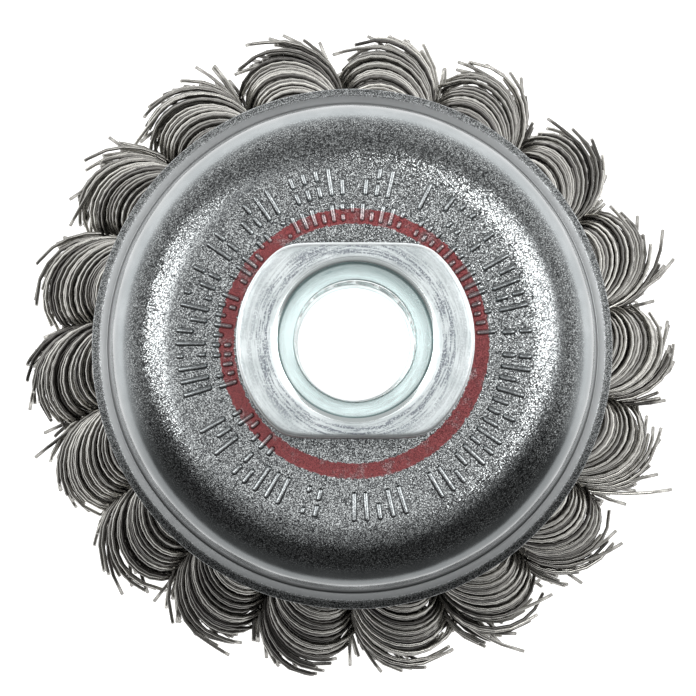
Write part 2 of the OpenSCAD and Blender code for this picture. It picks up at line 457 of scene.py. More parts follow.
def link_square(name, half, z, material):
    """A level square round the axis of rotation."""
    points = [(x * half, y * half, z) for x, y in ((-1, -1), (1, -1), (1, 1), (-1, 1))]
    return link_mesh(name, points, [(0, 1, 2, 3)], material)


def grid_faces(rows, columns):
    """Quads of a closed grid whose rows and columns both come round to their start."""
    faces = []
    for row in range(rows):
        below = (row + 1) % rows
        for column in range(columns):
            beside = (column + 1) % columns
            faces.append((row * columns + column, below * columns + column,
                          below * columns + beside, row * columns + beside))
    return faces


class Nodes:
    """Builds the shader nodes of a material or a world, with every input given by name or number."""

    def __init__(self, owner):
        owner.use_nodes = True
        self.owner = owner
        self.tree = owner.node_tree
        self.tree.nodes.clear()

    def node(self, kind, inputs=None, **settings):
        """A new node; an input is a value or another node's output."""
        made = self.tree.nodes.new(kind)
        for name, value in settings.items():
            setattr(made, name, value)
        for name, value in (inputs or {}).items():
            if isinstance(value, bpy.types.NodeSocket):
                self.tree.links.new(value, made.inputs[name])
            else:
                made.inputs[name].default_value = value
        return made

    def math(self, operation, a, b=0.0, clamp=False):
        return self.node("ShaderNodeMath", {0: a, 1: b}, operation=operation, use_clamp=clamp).outputs[0]

    def times(self, first, *others):
        """Product of numbers."""
        for other in others:
            first = self.math("MULTIPLY", first, other)
        return first

    def vector(self, operation, a, b=(0, 0, 0)):
        return self.node("ShaderNodeVectorMath", {0: a, 1: b}, operation=operation).outputs[0]

    def scaled(self, vector, factor):
        return self.node("ShaderNodeVectorMath", {0: vector, "Scale": factor}, operation="SCALE").outputs[0]

    def length(self, vector):
        return self.node("ShaderNodeVectorMath", {0: vector}, operation="LENGTH").outputs["Value"]

    def parts(self, vector):
        """X, Y and Z of a vector."""
        return self.node("ShaderNodeSeparateXYZ", {0: vector}).outputs

    def joined(self, x, y, z):
        return self.node("ShaderNodeCombineXYZ", {"X": x, "Y": y, "Z": z}).outputs[0]

    def ramp(self, value, span, to=(0.0, 1.0)):
        """Maps value from one span to another, with a soft start and end."""
        inputs = {"Value": value, "From Min": span[0], "From Max": span[1], "To Min": to[0], "To Max": to[1]}
        return self.node("ShaderNodeMapRange", inputs, interpolation_type="SMOOTHSTEP").outputs["Result"]

    def ramp_mm(self, value, span, to=(0.0, 1.0)):
        """The same for a value in metres and a span in millimetres."""
        return self.ramp(value, (span[0] * MM, span[1] * MM), to)

    def band_mm(self, value, rise, fall, far=0.0):
        """Rises from zero to one over one span and falls to far over the next, both in millimetres."""
        return self.times(self.ramp_mm(value, rise), self.ramp_mm(value, fall, (1.0, far)))

    def mix(self, share, a, b):
        """Blends two colours."""
        made = self.node("ShaderNodeMix", {0: share}, data_type="RGBA")
        for socket, value in ((made.inputs[MIX_A], a), (made.inputs[MIX_B], b)):
            if isinstance(value, bpy.types.NodeSocket):
                self.tree.links.new(value, socket)
            else:
                socket.default_value = (*value, 1)
        return made.outputs[MIX_RESULT]

    def position(self):
        """The point on the piece, in metres."""
        return self.node("ShaderNodeTexCoord").outputs["Object"]

    def radius(self, position):
        """Distance from the axis of rotation, in metres."""
        return self.length(self.vector("MULTIPLY", position, (1, 1, 0)))

    def noise(self, vector, scale, detail, roughness=NOISE_ROUGHNESS):
        inputs = {"Vector": vector, "Scale": scale, "Detail": detail, "Roughness": roughness}
        return self.node("ShaderNodeTexNoise", inputs).outputs["Fac"]

    def attribute(self, name):
        return self.node("ShaderNodeAttribute", attribute_name=name).outputs["Fac"]

    def bump(self, height, distance, strength, normal=None):
        """Normal of a surface whose relief is distance millimetres high."""
        inputs = {"Height": height, "Distance": distance * MM, "Strength": strength}
        if normal is not None:
            inputs["Normal"] = normal
        return self.node("ShaderNodeBump", inputs).outputs["Normal"]

    def surface(self, **inputs):
        """The one shader of a material; names of inputs have _ for a space."""
        named = {name.replace("_", " "): value for name, value in inputs.items()}
        shader = self.node("ShaderNodeBsdfPrincipled", named)
        self.node("ShaderNodeOutputMaterial", {"Surface": shader.outputs["BSDF"]})
        return self.owner


def new_shader(name):
    return Nodes(bpy.data.materials.new(name))


def grain(s, place, cell, amount):
    """A random share for each small cell, and a normal turned at random, so that the metal sparkles."""
    cells = s.node("ShaderNodeTexVoronoi", {"Vector": place, "Scale": 1 / (cell * MM)}).outputs["Color"]
    turned = s.scaled(s.vector("SUBTRACT", cells, (NOISE_MIDDLE, NOISE_MIDDLE, NOISE_MIDDLE)), amount)
    normal = s.node("ShaderNodeNewGeometry").outputs["Normal"]
    return s.parts(cells)["X"], s.vector("NORMALIZE", s.vector("ADD", normal, turned))


def round_axis(s, place, scales):
    """Coordinates round the axis, out from it and up, each at its own scale."""
    x, y, z = s.parts(place)
    turn = s.math("ARCTAN2", y, x)
    return s.joined(s.times(turn, scales[0]), s.times(s.radius(place), scales[1]), s.times(z, scales[2]))


def cup_grain(s, r, z):
    """How grainy the cup is: on the flat top, the shoulder and the lip, and less on the raised marks."""
    on_top = s.ramp_mm(r, SHOULDER_FADE, (1.0, 0.0))
    on_lip = s.ramp_mm(r, LIP_FADE, (0.0, LIP_GRAIN))
    on_marks = s.ramp_mm(z, MARK_FADE, (0.0, MARK_GRAIN_LOSS))
    return s.math("SUBTRACT", s.math("ADD", on_top, on_lip), on_marks)


def bare_zinc(s, place, r, grainy, cells, blotch):
    """Colour of the cup without its paint: speckled or smooth, with dark streaks at the wall's foot."""
    smooth = s.mix(s.ramp(blotch, CUP_BLOTCH_SPAN), SMOOTH_DARK, SMOOTH_LIGHT)
    smooth = s.mix(s.ramp_mm(r, RIM_START), smooth, RIM_ZINC)
    speckled = s.mix(s.math("POWER", cells, SPECKLE_POWER), GRAIN_DARK, GRAIN_LIGHT)
    zinc = s.mix(s.math("MULTIPLY", grainy, 1.0, clamp=True), smooth, speckled)
    rubbed = s.ramp(s.noise(round_axis(s, place, RUB_SCALES), *RUB_NOISE), RUB_SPAN)
    foot = s.band_mm(r, RUB_INNER, RUB_OUTER)
    return s.mix(s.times(rubbed, foot, RUB_MOST), zinc, RUB_DARK)


def paint_cover(s, place, r, z):
    """How far the paint covers the metal: a ring with torn edges, worn in places and on the marks."""
    tear = s.times(s.math("SUBTRACT", s.noise(place, *PAINT_EDGE_NOISE), NOISE_MIDDLE), PAINT_TEAR * MM)
    torn_r = s.math("ADD", r, tear)
    inside = s.ramp_mm(torn_r, PAINT_OUTER, (1.0, 0.0))
    outside = s.ramp_mm(torn_r, PAINT_INNER)
    on_top = s.math("GREATER_THAN", z, PAINT_LOWEST_Z * MM)
    worn = s.ramp(s.noise(place, *PAINT_WEAR_NOISE), PAINT_WEAR_SPAN, (PAINT_WORN, 1.0))
    return s.times(inside, outside, on_top, worn, s.ramp_mm(z, PAINT_MARK_SPAN, (1.0, PAINT_ON_MARKS)))


def cup_metal():
    """Zinc-plated pressed steel: a sparkling grain, smooth on the wall, with a red ring round the nut."""
    s = new_shader("cup_zinc")
    place = s.position()
    r = s.radius(place)
    z = s.parts(place)["Z"]
    grainy = cup_grain(s, r, z)
    tilt = s.math("ADD", s.times(grainy, GRAIN_TILT), GRAIN_TILT_LEAST)
    cells, normal = grain(s, place, GRAIN_CELL, tilt)
    normal = s.bump(s.noise(place, *CUP_DENTS), CUP_DENT_H, CUP_DENT_STRENGTH, normal)
    blotch = s.noise(place, *CUP_BLOTCHES)
    zinc = bare_zinc(s, place, r, grainy, cells, blotch)
    paint = paint_cover(s, place, r, z)
    red = s.mix(cells, RED_DARK, RED_LIGHT)
    rough = s.math("ADD", s.ramp(blotch, CUP_ROUGH_SPAN, CUP_ROUGH),
                   s.ramp_mm(r, RIM_ROUGH_START, (0.0, RIM_ROUGH_MORE)))
    return s.surface(Base_Color=s.mix(paint, zinc, red), Roughness=rough, Normal=normal,
                     Metallic=s.math("SUBTRACT", 1.0, s.times(paint, PAINT_METAL_LOSS)))


def nut_face(s, place, worn, face):
    """Colour of the turned metal: blotched zinc, polished in streaks, with dark pits on the face."""
    specks = s.noise(place, *SPECK_NOISE)
    bright = s.mix(s.ramp(s.noise(place, *NUT_BLOTCHES), NUT_BLOTCH_SPAN), NUT_DARK, NUT_LIGHT)
    polished = s.times(s.ramp(worn, POLISH_WEAR), s.ramp(specks, POLISH_SPECKS), POLISH_MOST)
    bright = s.mix(polished, bright, POLISHED)
    pitted = s.times(s.ramp(worn, PIT_WEAR), s.ramp(specks, PIT_SPECKS), face, PIT_MOST)
    return s.mix(pitted, bright, PITTED)


def nut_metal():
    """Bright zinc on turned steel: a worn face, a painted highlight on its edge, and a smooth mouth with
    painted shade in its corner.
    """
    s = new_shader("nut_zinc")
    place = s.position()
    r = s.radius(place)
    z = s.parts(place)["Z"]
    worn = s.noise(round_axis(s, place, WEAR_SCALES), *WEAR_NOISE)
    face = s.band_mm(r, FACE_INNER, FACE_OUTER, FACE_FAR)
    mouth = s.ramp_mm(r, MOUTH_SPAN, (1.0, 0.0))
    colour = nut_face(s, place, worn, face)
    # Painted highlight: the bevel round the face is made lighter
    colour = s.mix(s.band_mm(z, EDGE_LOWER, EDGE_UPPER), colour, EDGE_HIGHLIGHT_COLOUR)
    colour = s.mix(mouth, colour, MOUTH_BRIGHT)
    # Painted shade in the corner at the foot of the recess
    corner = s.times(s.band_mm(z, CORNER_LOWER, CORNER_UPPER), mouth, CORNER_SHADE_MOST)
    colour = s.mix(corner, colour, CORNER_SHADE_COLOUR)
    turned = s.noise(s.joined(r, 0.0, 0.0), *TURNING_NOISE)
    normal = s.bump(turned, TURNING_H, s.times(s.math("SUBTRACT", 1.0, mouth), TURNING_STRENGTH))
    normal = s.bump(worn, WEAR_H, s.times(face, WEAR_STRENGTH), normal)
    rough = s.math("SUBTRACT", s.ramp(worn, NUT_ROUGH_SPAN, NUT_ROUGH), s.times(mouth, MOUTH_SMOOTHER))
    return s.surface(Base_Color=colour, Metallic=1.0, Roughness=rough, Normal=normal)


def plate_metal():
    """Dull zinc on the plate that carries the knots."""
    s = new_shader("plate_steel")
    place = s.position()
    blotch = s.noise(place, *PLATE_BLOTCHES)
    _, normal = grain(s, place, PLATE_CELL, PLATE_TILT)
    colour = s.mix(s.ramp(blotch, PLATE_BLOTCH_SPAN), PLATE_DARK, PLATE_LIGHT)
    rough = s.ramp(blotch, PLATE_ROUGH_SPAN, PLATE_ROUGH)
    return s.surface(Base_Color=colour, Metallic=1.0, Roughness=rough, Normal=normal)


def wire_metal():
    """Drawn stainless wire: warm grey, each wire a little lighter or darker than the next, and darker in the
    middle of a knot by painted shade.
    """
    s = new_shader("wire_steel")
    streaks = s.noise(s.position(), *STREAKS)
    # Painted shade in the middle of a knot comes in with each wire's tone
    toned_and_shaded = s.mix(s.attribute("tone_and_shade"), WIRE_DARK, WIRE_LIGHT)
    colour = s.mix(s.ramp(streaks, STREAK_SPAN, (0.0, STREAK_MOST)), toned_and_shaded, STREAK_COLOUR)
    return s.surface(Base_Color=colour, Metallic=1.0, Roughness=s.ramp(streaks, WIRE_ROUGH_SPAN, WIRE_ROUGH),
                     Normal=s.bump(streaks, STREAK_H, STREAK_STRENGTH))


def floor_paper():
    """Plain white studio paper, with a glow of its own so that it shows as white."""
    s = new_shader("studio_floor")
    tint = s.noise(s.position(), *FLOOR_NOISE)
    return s.surface(Base_Color=s.mix(tint, FLOOR_DARK, FLOOR_LIGHT), Metallic=0.0, Roughness=DULL,
                     Emission_Color=WHITE, Emission_Strength=1.0)


CUP_ZINC = cup_metal()
NUT_ZINC = nut_metal()
PLATE_STEEL = plate_metal()
WIRE_STEEL = wire_metal()


def arc(centre_r, centre_z, radius, start, end, count):
    """Points (r, z) on an arc; angles are measured from straight up towards the outside."""
    return [(centre_r + radius * math.sin(a), centre_z + radius * math.cos(a))
            for a in np.linspace(start, end, count)]


def line(start, end, count):
    """Points on a straight line, without its last one."""
    return [(start[0] + (end[0] - start[0]) * i / count, start[1] + (end[1] - start[1]) * i / count)
            for i in range(count)]


def outer_profile():
    """Half section of the cup's outside, from the hub hole to the foot of the wall."""
    steps = round((SHOULDER_X - HUB_HOLE_R) / FLAT_STEP)
    points = line((HUB_HOLE_R, CUP_TOP_Z), (SHOULDER_X, CUP_TOP_Z), steps)
    shoulder = arc(SHOULDER_X, SHOULDER_Z, SHOULDER_R, 0, WALL_TURN, SHOULDER_POINTS)
    wall = line(shoulder.pop(), (WALL_FOOT_R - FOOT_INSET, CREASE_Z + FOOT_RISE), WALL_POINTS)
    foot = arc(WALL_FOOT_R + FOOT_ROUND, CREASE_Z + FOOT_ROUND, FOOT_ROUND,
               FOOT_ROUND_START, math.pi, FOOT_POINTS)
    return points + shoulder + wall + foot


def rim_profile():
    """Half section of the rim: a shelf, a ledge a little below it, the step and the lip."""
    shelf_z = CREASE_Z - SHELF_FALL
    ledge_z = CREASE_Z - SHELF_DROP
    ledge_end_z = ledge_z - LEDGE_FALL
    lip_z = RIM_Z + LIP_T
    edge_r = (LIP_T - LIP_FALL) / 2
    points = [(SHELF_R - SHELF_EDGE_W, shelf_z + SHELF_EDGE_H), (SHELF_R, shelf_z),
              (SHELF_R + DROP_W, ledge_z), (SHELF_R + DROP_FOOT_W, ledge_z),
              (STEP_R - STEP_ROUND, ledge_end_z)]
    points += arc(STEP_R - STEP_ROUND, ledge_end_z - STEP_ROUND, STEP_ROUND,
                  ROUND_START, math.pi / 2, STEP_POINTS)
    points += [(STEP_R, lip_z + LIP_ROOT_H), (STEP_R + LIP_ROOT_W, lip_z)]
    return points + arc(CUP_R - edge_r, RIM_Z + edge_r, edge_r, ROUND_START, math.pi, LIP_POINTS)


def inner_profile():
    """Half section of the cup's inside, from its mouth back to the hub hole."""
    points = [(MOUTH_R + MOUTH_BEVEL, RIM_Z), (MOUTH_R, RIM_Z + MOUTH_BEVEL), (MOUTH_R, EXIT_Z),
              (WALL_FOOT_INNER_R, EXIT_Z)]
    points += arc(SHOULDER_X, SHOULDER_Z, SHOULDER_R - CUP_T, WALL_TURN, 0, INNER_POINTS)
    return points + [(HUB_HOLE_R, CEILING_Z)]


def revolve(profile, segments):
    """Grid of points round the axis, one row for each point of the profile."""
    angles = np.arange(segments) * FULL_TURN / segments
    profile = np.asarray(profile)
    r = np.repeat(profile[:, :1], segments, 1)
    z = np.repeat(profile[:, 1:], segments, 1)
    return np.stack([r * np.cos(angles), r * np.sin(angles), z], -1)


def make_cup():
    profile = outer_profile() + rim_profile() + inner_profile()
    grid = revolve(profile, CUP_SEGMENTS)
    piece = link_mesh("cup_pressed", grid.reshape(-1, 3), grid_faces(len(profile), CUP_SEGMENTS),
                      CUP_ZINC, CUP_SHARP)
    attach(piece, "root")
    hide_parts("cup")


def mark_faces():
    """Faces of one mark: its sides, ring by ring, and its top."""
    faces = []
    for ring in range(len(MARK_DOME) - 1):
        for corner in range(MARK_CORNERS):
            here = ring * MARK_CORNERS + corner
            beside = ring * MARK_CORNERS + (corner + 1) % MARK_CORNERS
            faces.append((here, beside, beside + MARK_CORNERS, here + MARK_CORNERS))
    last = (len(MARK_DOME) - 1) * MARK_CORNERS
    return faces + [tuple(last + corner for corner in range(MARK_CORNERS))]


def mark(radius, degrees, length, width):
    """Rounded bar across the ring, as rings of points from its foot to its top."""
    turn = math.radians(degrees)
    angles = np.arange(MARK_CORNERS) * FULL_TURN / MARK_CORNERS + FULL_TURN / MARK_CORNERS / 2
    straight = (length - width) / 2
    points = []
    for inset, height in MARK_DOME:
        half = width / 2 * (1 - inset)
        out = half * np.cos(angles) + np.sign(np.cos(angles)) * straight
        side = half * np.sin(angles)
        x = (radius + out) * math.cos(turn) - side * math.sin(turn)
        y = (radius + out) * math.sin(turn) + side * math.cos(turn)
        points.append(np.stack([x, y, np.full_like(x, CUP_TOP_Z + height * MARK_H)], -1))
    return np.concatenate(points)


def mark_row(rng, slots, radius, width, first, last):
    """Marks of one row: radius, angle in degrees, length and width of every bar."""
    row = []
    for number in range(slots):
        degrees = first + number * FULL_TURN_DEGREES / slots
        if degrees > last:
            break
        for shift, length in MARK_KINDS[rng.choice(len(MARK_KINDS), p=MARK_SHARES)]:
            row.append((radius + shift * width, degrees, max(length * width, BAR_W), BAR_W))
    return row


def mark_places():
    """Two rows of plain bars and pips round the flat top, in a random order that says nothing."""
    rng = np.random.default_rng(MARK_SEED)
    outer = mark_row(rng, OUTER_SLOTS, OUTER_MARK_R, OUTER_LENGTH, OUTER_ROW_START, OUTER_ROW_END)
    return outer + mark_row(rng, INNER_SLOTS, INNER_MARK_R, INNER_LENGTH, INNER_ROW_START, INNER_ROW_END)


def make_marks():
    points, faces = [], []
    for number, place in enumerate(mark_places()):
        start = number * len(MARK_DOME) * MARK_CORNERS
        points.append(mark(*place))
        faces += [tuple(start + corner for corner in face) for face in mark_faces()]
    piece = link_mesh("cup_marks", np.concatenate(points), faces, CUP_ZINC, MARK_SHARP)
    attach(piece, "root")


def nut_angles():
    """Angles round the nut, with one exactly at each corner between an arc and a flat."""
    corner = math.asin(NUT_FLAT_Y / NUT_R)
    stops = [-corner, corner, math.pi - corner, math.pi + corner, FULL_TURN - corner]
    counts = [ARC_SEGMENTS, FLAT_SEGMENTS, ARC_SEGMENTS, FLAT_SEGMENTS]
    return np.concatenate([np.linspace(a, b, n, endpoint=False) for a, b, n in zip(stops, stops[1:], counts)])


def head_radius(angles, inset):
    """Radius of the head's outline with softened corners, taken inwards by inset."""
    flat = (NUT_FLAT_Y - inset) / np.maximum(np.abs(np.sin(angles)), LEAST_SINE)
    return -CORNER_BLEND * np.logaddexp(-(NUT_R - inset) / CORNER_BLEND, -flat / CORNER_BLEND)


def thread_radius(angles, z):
    """Radius of a right-handed 60-degree thread at height z."""
    phase = (z / THREAD_PITCH - angles / FULL_TURN) % 1
    return BORE_R + THREAD_DEPTH * np.interp(phase, THREAD_STATIONS, THREAD_DEPTHS)


def head_rings(angles):
    """Radius and height of the rings up the outside of the head and over its top edge."""
    rings = [(head_radius(angles, FOOT_BEVEL), CUP_TOP_Z), (head_radius(angles, 0), CUP_TOP_Z + FOOT_BEVEL)]
    for share in HEAD_SHARES:
        rings.append((head_radius(angles, 0), CUP_TOP_Z + (NUT_TOP_Z - CUP_TOP_Z) * share))
    for a in np.linspace(0, math.pi / 2, BEVEL_RINGS):
        inset = NUT_BEVEL * (1 - math.cos(a))
        rings.append((head_radius(angles, inset), NUT_TOP_Z - NUT_BEVEL * (1 - math.sin(a))))
    return rings


def mouth_rings(angles):
    """The same across the face and down into the recess."""
    edge = head_radius(angles, NUT_BEVEL)
    mouth_r = RECESS_R + RECESS_BEVEL
    rings = [(edge + (mouth_r - edge) * share, NUT_TOP_Z) for share in FACE_SHARES]
    return rings + [(mouth_r, NUT_TOP_Z), (RECESS_R, NUT_TOP_Z - RECESS_BEVEL / 2), (RECESS_R, RECESS_Z)]


def bore_rings(angles):
    """The same down the countersink and the thread, and over the small lip at the bore's lower end."""
    cone_end_z = RECESS_Z - (RECESS_R - BORE_R)
    end_z = NUT_END_Z + LEAD_IN + END_H
    rings = []
    z = RECESS_Z - BORE_STEP
    while z > end_z:
        cone = BORE_R + max(0, z - cone_end_z)
        run_in = (cone_end_z - THREAD_LAND - z) / THREAD_RUN_IN
        run_out = (z - end_z) / THREAD_RUN_IN
        cut = min(1, max(0, min(run_in, run_out)))
        rings.append((np.maximum(BORE_R + (thread_radius(angles, z) - BORE_R) * cut, cone), z))
        z -= BORE_STEP
    return rings + [(BORE_R, end_z), (END_R + END_EDGE_W, end_z - END_EDGE_H), (END_R, end_z - END_FALL),
                    (END_R, NUT_END_Z + LEAD_IN), (END_R + LEAD_IN, NUT_END_Z)]


def spigot_rings():
    """The same round the rolled foot and up the spigot."""
    rings = []
    for a in np.linspace(math.pi, 0, ROLL_RINGS):
        out = ROLL_R - ROLL_H / 2 + ROLL_H / 2 * math.sin(a)
        rings.append((out, NUT_END_Z + ROLL_H / 2 * (1 + math.cos(a))))
    return rings + [(SPIGOT_R, NUT_END_Z + ROLL_H), (SPIGOT_R, CUP_TOP_Z)]


def make_nut():
    angles = nut_angles()
    rings = head_rings(angles) + mouth_rings(angles) + bore_rings(angles) + spigot_rings()
    grid = np.array([np.stack([radius * np.cos(angles), radius * np.sin(angles), np.full_like(angles, z)], -1)
                     for radius, z in rings])
    piece = link_mesh("nut_turned", grid.reshape(-1, 3), grid_faces(*grid.shape[:2]), NUT_ZINC, NUT_SHARP)
    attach(piece, "root")
    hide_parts("hub_nut")


def shares_down(z):
    """How far height z is down the part of a knot inside the cup, and down the part that shows."""
    inside = np.clip((ROOT_Z - z) / (ROOT_Z - EXIT_Z), 0, 1)
    return inside, np.clip((EXIT_Z - z) / EXIT_Z, 0, 1)


def section(z):
    """Middle of a knot's section at height z, with its half widths along the radius and the ring."""
    inside, below = shares_down(z)
    middle = (ROOT_MIDDLE_R + (EXIT_MIDDLE_R - ROOT_MIDDLE_R) * inside
              + (TIP_MIDDLE_R - EXIT_MIDDLE_R) * below ** LEANING)
    radial = (ROOT_HALF + (EXIT_HALF - ROOT_HALF) * inside
              + (TIP_HALF - EXIT_HALF) * below ** WIDENING)
    half_pitch = math.pi / KNOT_COUNT
    room = middle * math.sin(half_pitch) - SIDE_GAP
    side = np.sqrt(room ** 2 - (radial * math.sin(half_pitch)) ** 2) / math.cos(half_pitch)
    return middle, radial, np.minimum(radial, side) * (1 + SIDE_SPREAD * below)


def helix(z, share, phase):
    """Points of wires at heights z: share is how far out in the section each one lies."""
    middle, radial, side = section(z)
    inside, below = shares_down(z)
    angle = phase + FULL_TURN * (TURNS_IN_CUP * inside + TURNS_SHOWN * below ** TURNING)
    return np.stack([middle + (radial - WIRE_R) * share * np.cos(angle),
                     (side - WIRE_R) * share * np.sin(angle), z], -1)


def outer_wires(rng):
    """Share of the section and phase of every wire in the outer layers of a knot."""
    spread = LAYER_PHASE_SPREAD
    shares = np.concatenate([np.full(count, share) for share, count in LAYERS])
    phases = np.concatenate([
        (np.arange(count) + rng.uniform(-spread, spread, count) + rng.uniform(0, 1)) * FULL_TURN / count
        for _, count in LAYERS])
    return shares * (1 + rng.uniform(*LAYER_SHARE_SPREAD, len(shares))), phases


def core_wires(rng):
    """The same for the wires that fill the middle of a knot, set on a sunflower spiral."""
    order = np.arange(CORE_WIRES)
    jitter = rng.uniform(-CORE_SHARE_SPREAD, CORE_SHARE_SPREAD, CORE_WIRES)
    shares = CORE_SHARE * np.sqrt((order + SPIRAL_START) / CORE_WIRES) * (1 + jitter)
    phases = order * GOLDEN_ANGLE + rng.uniform(0, FULL_TURN)
    return shares, phases + rng.uniform(-CORE_PHASE_SPREAD, CORE_PHASE_SPREAD, CORE_WIRES)


def cut_heights(rng, wires):
    """Heights at which wires let go of the helix, and at which they end."""
    release = RELEASE_LOWEST + RELEASE_RANGE * rng.uniform(0, 1, wires) ** RELEASE_POWER
    end = CUT_LOWEST + rng.uniform(0, 1, wires) ** CUT_POWER * CUT_RANGE
    return np.maximum(release, end + FREE_LEAST), end


def coiled_part(rng, shares, phases, release, shown_rings):
    """Centre lines of wires from their roots to where they let go of the helix, wobbling and fraying."""
    wires = len(shares)
    hidden = np.linspace(ROOT_Z, RIM_Z, HIDDEN_RINGS, endpoint=False)
    steps = np.linspace(0, 1, shown_rings)
    z = np.concatenate([np.repeat(hidden[None], wires, 0),
                        RIM_Z + (release[:, None] - RIM_Z) * steps[None]], 1)
    size = rng.uniform(0.0, WOBBLE_MOST, wires)[:, None]
    rate = rng.uniform(*WOBBLE_RATES, wires)[:, None]
    wobble = size * np.sin(z * rate + rng.uniform(0, FULL_TURN, wires)[:, None])
    _, below = shares_down(z)
    fray = 1 + rng.uniform(-FRAY_INWARDS, FRAY, wires)[:, None] * below ** FRAY_POWER
    return helix(z, shares[:, None] * fray, phases[:, None] + wobble)


def free_part(rng, coil, release, end):
    """Centre lines below the helix, which go on in its direction and bend a little its way."""
    wires = len(coil)
    headings = coil[:, -2:] - coil[:, -3:-1]
    step = -headings[..., 2:]
    headings /= step
    bend = (headings[:, 1] - headings[:, 0]) / step[:, 1] * rng.uniform(0.0, BEND_MOST, wires)[:, None]
    sideways = rng.uniform(SPREAD_LEAST, 1.0, wires)
    heading = headings[:, 1] * np.stack([sideways, sideways, np.ones(wires)], 1)
    drop = (release - end)[:, None, None] * (np.arange(END_RINGS) + 1)[None, :, None] / END_RINGS
    return coil[:, -1:] + heading[:, None] * drop + bend[:, None] * drop ** 2 / 2


def wire_paths(rng, shares, phases, shown_rings):
    """Centre lines of wires in their knot's own frame: X outwards, Z up."""
    release, end = cut_heights(rng, len(shares))
    coil = coiled_part(rng, shares, phases, release, shown_rings)
    return np.concatenate([coil, free_part(rng, coil, release, end)], 1)


def loop_paths():
    """Centre lines of the wires where a knot loops over the plate, in its own frame."""
    around = np.arange(LOOP_WIRES)[:, None] * FULL_TURN / LOOP_WIRES
    over = np.linspace(0, math.pi, LOOP_RINGS)[None]
    reach = LOOP_R + LOOP_WIRE_RING * np.cos(around)
    arch = np.stack([ROOT_MIDDLE_R + reach * np.cos(over),
                     np.repeat(LOOP_WIRE_RING * np.sin(around), LOOP_RINGS, 1),
                     LOOP_Z + reach * np.sin(over)], -1)
    feet = arch[:, [0, -1]].copy()
    feet[..., 2] = ROOT_Z - LOOP_OVERLAP
    return np.concatenate([feet[:, :1], arch, feet[:, 1:]], 1)


def soft_limit(value, limit):
    """Eases values in the last band before the limit, so that none passes it."""
    over = np.maximum(np.abs(value) - (limit - LIMIT_BAND), 0)
    eased = (limit - LIMIT_BAND) + LIMIT_BAND * (1 - np.exp(-over / LIMIT_BAND))
    return np.where(over > 0, np.sign(value) * eased, value)


def tube_faces(wires, rings, sides):
    """Faces of tubes whose points go round each ring, ring by ring: their walls and their caps."""
    walls, caps = [], []
    for wire in range(wires):
        start = wire * rings * sides
        for ring in range(rings - 1):
            here = start + ring * sides
            for side in range(sides):
                beside = (side + 1) % sides
                walls.append((here + side, here + beside, here + sides + beside, here + sides + side))
        last = start + (rings - 1) * sides
        caps.append(tuple(start + side for side in reversed(range(sides))))
        caps.append(tuple(last + side for side in range(sides)))
    return walls, caps


def tubes(paths, upright=(0, 0, 1)):
    """Closed tubes round paths of equal length, none of which runs along upright."""
    tangent = np.gradient(paths, axis=1)
    tangent /= np.linalg.norm(tangent, axis=-1, keepdims=True)
    aside = np.zeros_like(tangent) + np.asarray(upright, float)
    aside -= tangent * (aside * tangent).sum(-1, keepdims=True)
    aside /= np.linalg.norm(aside, axis=-1, keepdims=True)
    across = np.cross(tangent, aside)
    turn = np.arange(WIRE_SIDES) * FULL_TURN / WIRE_SIDES
    points = (paths[:, :, None] + WIRE_R * (np.cos(turn)[:, None] * aside[:, :, None]
                                            + np.sin(turn)[:, None] * across[:, :, None]))
    return points.reshape(-1, 3), *tube_faces(*paths.shape[:2], WIRE_SIDES)


def drift(degrees):
    """Angle by which the tips of a knot are pushed along the ring, from use."""
    away = (degrees - DRIFT_MIDDLE) / DRIFT_WIDTH
    return math.radians(DRIFT_MOST * math.exp(-away ** 2))


def knot_turn(number):
    """Angle at which a knot stands."""
    return (number - 1) * FULL_TURN / KNOT_COUNT


def wire_tones_and_shade(rng, shares, rings):
    """Tone of every ring of every wire, darker by painted shade the further in the wire lies."""
    # Painted shade: a wire's random tone, darkened the further in the wire lies
    tones_and_shade = ((TONE_LEAST + TONE_RANGE * rng.uniform(0, 1, len(shares)))
             * (PAINTED_SHADE_CORE + PAINTED_SHADE_RANGE * shares ** PAINTED_SHADE_POWER))
    tones_and_shade = np.repeat(tones_and_shade[:, None], rings, 1)
    tones_and_shade[:, -1] = np.maximum(tones_and_shade[:, -1], CUT_TONE)
    return tones_and_shade


def place_bundle(rng, number, wires, shown_rings):
    """Tubes of a knot's wires where the knot stands, pushed along the ring and kept inside the box."""
    paths = wire_paths(rng, *wires, shown_rings)
    _, below = shares_down(paths[..., 2])
    turn = knot_turn(number)
    turn = turn + drift(math.degrees(turn)) * below
    x = paths[..., 0] * np.cos(turn) - paths[..., 1] * np.sin(turn)
    y = paths[..., 0] * np.sin(turn) + paths[..., 1] * np.cos(turn)
    paths[..., 0] = soft_limit(x, box_high.x - WIRE_R)
    paths[..., 1] = soft_limit(y, box_high.y - WIRE_R)
    points, walls, caps = tubes(paths)
    points[:, 2] = np.maximum(points[:, 2], 0)
    return points, walls, caps, np.repeat(wire_tones_and_shade(rng, wires[0], paths.shape[1]), WIRE_SIDES)


def place_loops(number):
    """Tubes of a knot's wires over the plate."""
    turn = knot_turn(number)
    cosine, sine = math.cos(turn), math.sin(turn)
    loops = loop_paths()
    loops[..., :2] = loops[..., :2] @ np.array([[cosine, sine], [-sine, cosine]])
    points, walls, caps = tubes(loops, (-sine, cosine, 0))
    return points, walls, caps, np.full(len(points), LOOP_TONE)


def knot_faces(parts):
    """Faces of a knot's tubes, and whether each one is smooth."""
    faces, smooth = [], []
    start = 0
    for points, walls, caps, _ in parts:
        faces += [tuple(start + corner for corner in face) for face in walls + caps]
        smooth += [True] * len(walls) + [False] * len(caps)
        start += len(points)
    return faces, smooth


